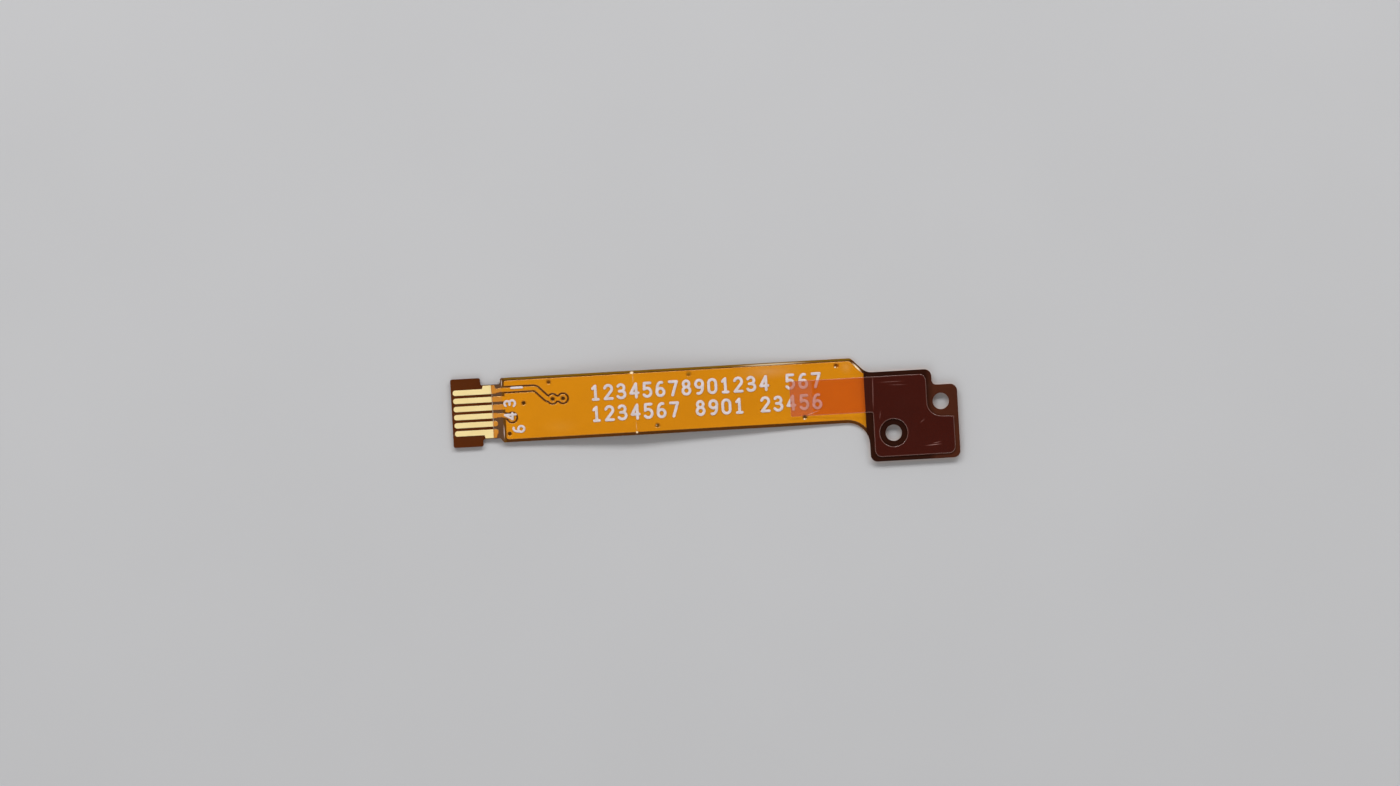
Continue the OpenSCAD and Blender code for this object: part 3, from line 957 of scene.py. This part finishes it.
@dataclass
class Stiffeners:
    """The two brown stiffeners and the adhesive that holds them."""

    nodes: dict[str, Object]
    edge: float = 0.02
    lug: float = 1.9
    fade: float = 0.5

    def build(self) -> None:
        """Round the stiffeners' cut edges and finish them, and finish their adhesive."""
        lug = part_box("pad_stiffener")[1][0] - self.lug * MM
        pad = SheetFinish(
            "brown_laminate", (0.026, 0.005, 0.001), (0.018, 0.003, 0.0005),
            zones=(Zone((0.075, 0.018, 0.007), (0.055, 0.013, 0.005), lug, self.fade * MM),),
            roughness=0.38, gloss=0.12, scratch_amount=0.01,
        )
        end = SheetFinish("brown_end", (0.105, 0.024, 0.002), (0.08, 0.017, 0.001), roughness=0.4, gloss=0.12)
        for name, finish in (("pad_stiffener", pad), ("contact_stiffener", end)):
            piece = cad_copy(self.nodes[name], f"{name}_cut")
            bevelled(piece, self.edge)
            smoothed(piece)
            dress(piece, finish.material())
            settle(piece, "stiffener", name)
        bond = SheetFinish("brown_adhesive", (0.10, 0.03, 0.01), (0.06, 0.018, 0.008)).material()
        for name in ("pad_stiffener_bond", "contact_stiffener_bond"):
            dress(self.nodes[name], bond)


@dataclass
class Mounting:
    """The mounting adhesive and its release liner with the pull tab."""

    nodes: dict[str, Object]
    edge: float = 0.018
    # Width of the liner's border that carries a painted highlight.
    lit_rim: float = 0.045
    clear: float = 0.001
    tab_end: float = 1.35
    rub: Colour = (0.60, 0.40, 0.36)
    # Marks on the liner: real rubs in the rub colour, except the sixth, a long upright painted highlight at
    # the tab's root, and the last, a painted highlight along the tab's crease.
    marks: tuple[Mark, ...] = (
        Mark(26.9, -3.55, 0.60, 0.028, 0.42, turn=3.0, colour=rub),
        Mark(27.1, -3.42, 0.35, 0.022, 0.34, turn=9.0, colour=rub),
        Mark(24.5, 0.45, 0.90, 0.022, 0.26, colour=rub),
        Mark(24.9, 0.24, 0.70, 0.020, 0.20, turn=-2.0, colour=rub),
        Mark(23.72, -1.55, 0.025, 0.32, 0.22, turn=-8.0, colour=rub),
        Mark(23.36, -0.10, 0.028, 1.25, 0.28, turn=-2.0, soft=0.4, colour=(0.55, 0.36, 0.32)),
        Mark(26.3, -2.05, 0.22, 0.020, 0.30, turn=38.0, colour=rub),
        Mark(19.65, -1.18, 0.60, 0.022, 0.45, turn=18.0, colour=(0.85, 0.55, 0.45)),
    )

    def build(self) -> None:
        """Shape and finish the liner, and finish the adhesive under it."""
        # The liner's sheen is a painted pinkish reflection on the tab's lifted end.
        red = FilmFinish(
            "red_liner", tint=(0.90, 0.45, 0.36), light=(0.46, 0.06, 0.02), dark=(0.36, 0.045, 0.015),
            haze_and_highlights=0.05, sheen_until=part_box("release_liner")[0][0] + self.tab_end * MM, sheen=0.17,
            sheen_colour=(0.50, 0.22, 0.14), roughness=0.18, grain_scale=700.0, grain_height=0.15,
            scratch_amount=0.012, bend=1.5, origin=(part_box("top_coverlay")[0][0], middle_line()),
            marks=self.marks,
        )
        # Painted highlight: the liner's border is lighter and glossier, standing for the light that its cut
        # edge catches.
        lit_rim = replace(red, name="red_liner_lit_rim", light=(0.55, 0.30, 0.24), dark=(0.42, 0.20, 0.15),
                      haze_and_highlights=0.20, bend=2.1, marks=())
        glue = SheetFinish("dark_adhesive", (0.034, 0.0045, 0.001), (0.024, 0.003, 0.001), gloss=0.05)
        dress(self.nodes["mounting_adhesive"], glue.material())
        liner = cad_copy(self.nodes["release_liner"], "liner_sheet")
        dress(liner, red.material(), lit_rim.material())
        shift_faces(liner, False, self.clear)
        terraced(liner, lambda face: face.normal.z > LEVEL, ((self.lit_rim, 0.0),))
        bevelled(liner, self.edge)
        smoothed(liner)
        settle(liner, "release_liner", "release_liner")


def arc(x: float, y: float, across: float, up: float, start: float, end: float,
        steps: int = 8) -> tuple[Point, ...]:
    """Return the points of an elliptic arc of this centre and half size, between angles in degrees."""
    turns = [math.radians(start + (end - start) * step / steps) for step in range(steps + 1)]
    return tuple((x + across * math.cos(turn), y + up * math.sin(turn)) for turn in turns)


def stepped(stroke: Sequence[Point], reach: float) -> list[Vector]:
    """Put more points between a stroke's corners, so that it can follow the film.

    Args:
        stroke: The stroke's corners.
        reach: The longest distance left between two points.

    Returns:
        The points, from the first corner to the last.
    """
    places = [Vector((*stroke[0], 0.0))]
    for corner in stroke[1:]:
        start, end = places[-1], Vector((*corner, 0.0))
        count = max(1, math.ceil((end - start).length / reach))
        places += [start.lerp(end, number / count) for number in range(1, count + 1)]
    return places


@dataclass(frozen=True)
class Figure:
    """A figure drawn with a round pen: its strokes' centre lines in a box 0.44 wide and 0.82 high."""

    strokes: tuple[tuple[Point, ...], ...]
    closed: bool = False

    @classmethod
    def all(cls) -> dict[str, "Figure"]:
        """List the figures.

        Returns:
            Every figure by the character that it prints.
        """
        six = (*arc(0.27, 0.40, 0.25, 0.42, 75, 180), *arc(0.22, 0.23, 0.22, 0.23, 180, 530, 14))
        nine = tuple((0.44 - x, 0.82 - y) for x, y in six)
        zero = (*arc(0.22, 0.60, 0.22, 0.22, 0, 180), *arc(0.22, 0.22, 0.22, 0.22, 180, 360))
        return {
            "0": cls((zero,), True),
            "1": cls((((0.06, 0.66), (0.22, 0.82)), ((0.22, 0.81), (0.22, 0)), ((0.07, 0), (0.37, 0)))),
            "2": cls(((*arc(0.22, 0.60, 0.22, 0.22, 165, -35), (0.01, 0.01)), ((0, 0), (0.44, 0)))),
            "3": cls(((*arc(0.20, 0.62, 0.20, 0.20, 150, -90), (0.10, 0.42)),
                      arc(0.20, 0.215, 0.24, 0.215, 85, -150))),
            "4": cls((((0.33, 0), (0.33, 0.82)), ((0.32, 0.81), (0.01, 0.26)), ((0, 0.25), (0.44, 0.25)))),
            "5": cls((((0.40, 0.82), (0.05, 0.82)), ((0.05, 0.81), (0.03, 0.46)),
                      ((0.03, 0.45), *arc(0.20, 0.26, 0.24, 0.26, 110, -145)))),
            "6": cls((six,)),
            "7": cls((((0, 0.82), (0.44, 0.82)), ((0.43, 0.81), (0.16, 0)))),
            "8": cls((arc(0.22, 0.63, 0.18, 0.19, -80, 260, 14), arc(0.22, 0.22, 0.22, 0.22, 90, 430, 14))),
            "9": cls((nine,)),
            "|": cls((((0.22, 0), (0.22, 0.82)),)),
        }


@dataclass
class Print:
    """White printed figures on the coverlay: two counting rows and the outer contacts' numbers.

    Each line has its place from the coverlay's near end on the middle line, its turn and its height.
    """

    film: Object
    stroke: float = 0.17
    pitch: float = 0.797
    ink: float = 0.010
    sink: float = 0.002
    reach: float = 0.12
    lines: tuple[tuple[str, str, Point, float, float], ...] = (
        ("print_row_1", "12345678901234 567", (6.16, 0.39), 0.0, 1.0),
        ("print_row_2", "1234567 8901 23456", (6.16, -0.91), 0.0, 1.0),
        ("contact_number_1", "|", (1.90, 1.21), math.pi / 2, 0.8),
        ("contact_number_3", "43", (1.42, -0.52), math.pi / 2, 0.8),
        ("contact_number_6", "6", (1.90, -1.33), math.pi / 2, 0.8),
    )
    pen_ends: tuple[Pair, ...] = ((0.7, 0.71), (1.0, 0.2))
    figures: dict[str, Object] = field(default_factory=dict)

    def build(self) -> None:
        """Print every figure and finish them."""
        ink = InkFinish().material()
        near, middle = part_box("top_coverlay")[0][0] / MM, middle_line() / MM
        for key, figure in Figure.all().items():
            self.figures[key] = self.cut(key, figure)
        for name, text, (x, y), turn, height in self.lines:
            line = self.line(name, text, (near + x, middle + y), turn, height)
            dress(line, ink)
            settle(line, "coverlay")
        for figure in self.figures.values():
            bpy.data.objects.remove(figure)

    def cut(self, key: str, figure: Figure) -> Object:
        """Model one figure, a pen's width thick and one unit high.

        Args:
            key: The character.
            figure: Its strokes.

        Returns:
            The figure's piece, standing on its lower left corner.
        """
        half = self.stroke / 2
        curve = bpy.data.curves.new(f"figure_{key}", "CURVE")
        curve.dimensions = "3D"
        curve.bevel_depth = half
        curve.bevel_resolution = 2
        curve.use_fill_caps = True
        for stroke in figure.strokes:
            path = [(place, 1.0) for place in stepped(stroke, self.reach)]
            if not figure.closed:
                first = (path[0][0] - path[1][0]).normalized() * half
                last = (path[-1][0] - path[-2][0]).normalized() * half
                start, end = path[0][0], path[-1][0]
                for share, width in self.pen_ends:
                    path = [(start + first * share, width), *path, (end + last * share, width)]
            spline = curve.splines.new("POLY")
            spline.points.add(len(path) - 1)
            spline.use_cyclic_u = figure.closed
            for point, (place, radius) in zip(spline.points, path):
                point.co = (*place, 1.0)
                point.radius = radius
        made = bpy.data.objects.new(f"figure_{key}", curve)
        bpy.context.scene.collection.objects.link(made)
        pick(made)
        bpy.ops.object.convert(target="MESH")
        made = bpy.context.object
        with editing(made):
            bpy.ops.mesh.remove_doubles(threshold=1e-4)
            bpy.ops.mesh.normals_make_consistent(inside=False)
            bpy.ops.mesh.intersect_boolean(operation="UNION", use_self=True, solver="EXACT")
            bpy.ops.mesh.select_all(action="SELECT")
            bpy.ops.mesh.dissolve_degenerate(threshold=2e-3)
            bpy.ops.transform.translate(value=(half, half, 0.0))
        return made

    def line(self, name: str, text: str, place: Point, turn: float, height: float) -> Object:
        """Print a line of figures on the film.

        Args:
            name: The piece's name.
            text: The figures.
            place: Where the line's lower left corner lies.
            turn: How far the line is turned, in radians.
            height: The figures' height.

        Returns:
            The printed piece.
        """
        copies = []
        for number, key in enumerate(text):
            if key not in self.figures:
                continue
            pick(self.figures[key])
            bpy.ops.object.duplicate()
            copy = bpy.context.object
            offset = Vector((number * self.pitch - self.stroke / 2 * height, -self.stroke / 2 * height, 0.0))
            offset.rotate(Euler((0.0, 0.0, turn)))
            copy.location = Vector((*place, 0.0)) + offset
            copy.rotation_euler = (0.0, 0.0, turn)
            copy.scale = (height, height, self.ink / (self.stroke / 2))
            copies.append(copy)
        row = joined(copies, name)
        bpy.ops.object.transform_apply(location=True, rotation=True, scale=True)
        self.lay(row)
        bpy.ops.object.shade_smooth_by_angle(angle=math.radians(50))
        return row

    def lay(self, row: Object) -> None:
        """Lay a line of figures on the film, its lower half pressed flat.

        Args:
            row: The line.
        """
        above = 2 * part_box("top_coverlay")[1][2]
        for vertex in row.data.vertices:
            x, y, z = vertex.co
            hit, where, _, _ = self.film.ray_cast(Vector((x * MM, y * MM, above)), -UP)
            if hit:
                vertex.co.z = where.z / MM + max(z, -self.sink)


# ---- Stage ----


@dataclass
class Studio:
    """Floor, light and camera. Each lamp has a name, a place, a width and depth, and a power."""

    view_width: float = 85.9 * MM
    distance: float = 0.4
    roll: float = math.radians(3.25)
    centre: Point = (-0.24 * MM, 1.57 * MM)
    floor_light: Colour = (0.52118, 0.52118, 0.53045)
    floor_dark: Colour = (0.50882, 0.50882, 0.517575)
    room_light: float = 0.60
    zenith: float = 0.14
    zenith_span: Pair = (0.55, 0.97)
    lamps: tuple[tuple[str, tuple[float, float, float], Pair, float], ...] = (
        ("key", (0.0, 0.27, 0.28), (0.6, 0.12), 1.45),
        ("fill", (-0.35, -0.65, 0.8), (0.9, 0.9), 2.5),
    )

    def build(self) -> None:
        """Set the floor, the world, the lamps and the camera."""
        self.lay_floor()
        self.light_room()
        self.hang_lamps()
        self.aim_camera()

    def lay_floor(self) -> None:
        """Lay a pale floor."""
        bpy.ops.mesh.primitive_plane_add(size=6.0)
        floor = bpy.context.object
        floor.name = "floor"
        shader = Shader("floor_paint")
        tone = shader.tone(self.floor_light, self.floor_dark, 60.0)
        shader.set(Base_Color=tone, Roughness=0.9, Specular_IOR_Level=0.1)
        dress(floor, shader.material)

    def light_room(self) -> None:
        """Fill the room with soft light, weaker from straight above, where the camera hangs."""
        world = bpy.data.worlds.new("room")
        bpy.context.scene.world = world
        world.use_nodes = True
        room = Wiring(world.node_tree)
        up = room.add("SeparateXYZ", room.add("TexCoord").outputs["Generated"]).outputs["Z"]
        low, high = self.zenith_span
        strength = room.add(
            "MapRange", Value=up, From_Min=low, From_Max=high, To_Min=self.room_light,
            To_Max=self.room_light * self.zenith, settings={"interpolation_type": "SMOOTHSTEP"})
        background = world.node_tree.nodes["Background"].inputs
        room.feed(background["Strength"], strength.outputs["Result"])
        room.feed(background["Color"], WHITE)

    def hang_lamps(self) -> None:
        """Hang one long soft lamp on the side of contact 1, and a weak one opposite."""
        for name, place, (width, depth), power in self.lamps:
            light = bpy.data.lights.new(name, "AREA")
            light.shape = "RECTANGLE"
            light.size, light.size_y, light.energy = width, depth, power
            lamp = bpy.data.objects.new(name, light)
            lamp.location = place
            lamp.rotation_euler = (-Vector(place)).to_track_quat("-Z", "Y").to_euler()
            bpy.context.scene.collection.objects.link(lamp)

    def aim_camera(self) -> None:
        """Look straight down, with the cable climbing a little to the right."""
        lens = bpy.data.cameras.new("camera")
        lens.lens = lens.sensor_width * self.distance / self.view_width
        camera = bpy.data.objects.new("camera", lens)
        camera.location = (*self.centre, self.distance)
        camera.rotation_euler = (0.0, 0.0, -self.roll)
        bpy.context.scene.collection.objects.link(camera)
        bpy.context.scene.camera = camera


def main() -> None:
    """Load the frame, then build and report each sub-assembly."""
    logging.basicConfig(level=logging.INFO, format="%(name)s: %(message)s")
    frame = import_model()
    nodes = frame["nodes"]
    bpy.context.scene.view_settings.view_transform = "Standard"
    bare_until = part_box("top_coverlay")[0][0]
    Studio().build()
    bow = Bow("base_film", nodes["base_film"])
    Films(nodes, bow, bare_until).build()
    Copper(nodes, bow, bare_until).build()
    Stiffeners(nodes).build()
    Mounting(nodes).build()
    Print(bpy.data.objects["coverlay_relief"]).build()


if __name__ == "__main__":
    main()
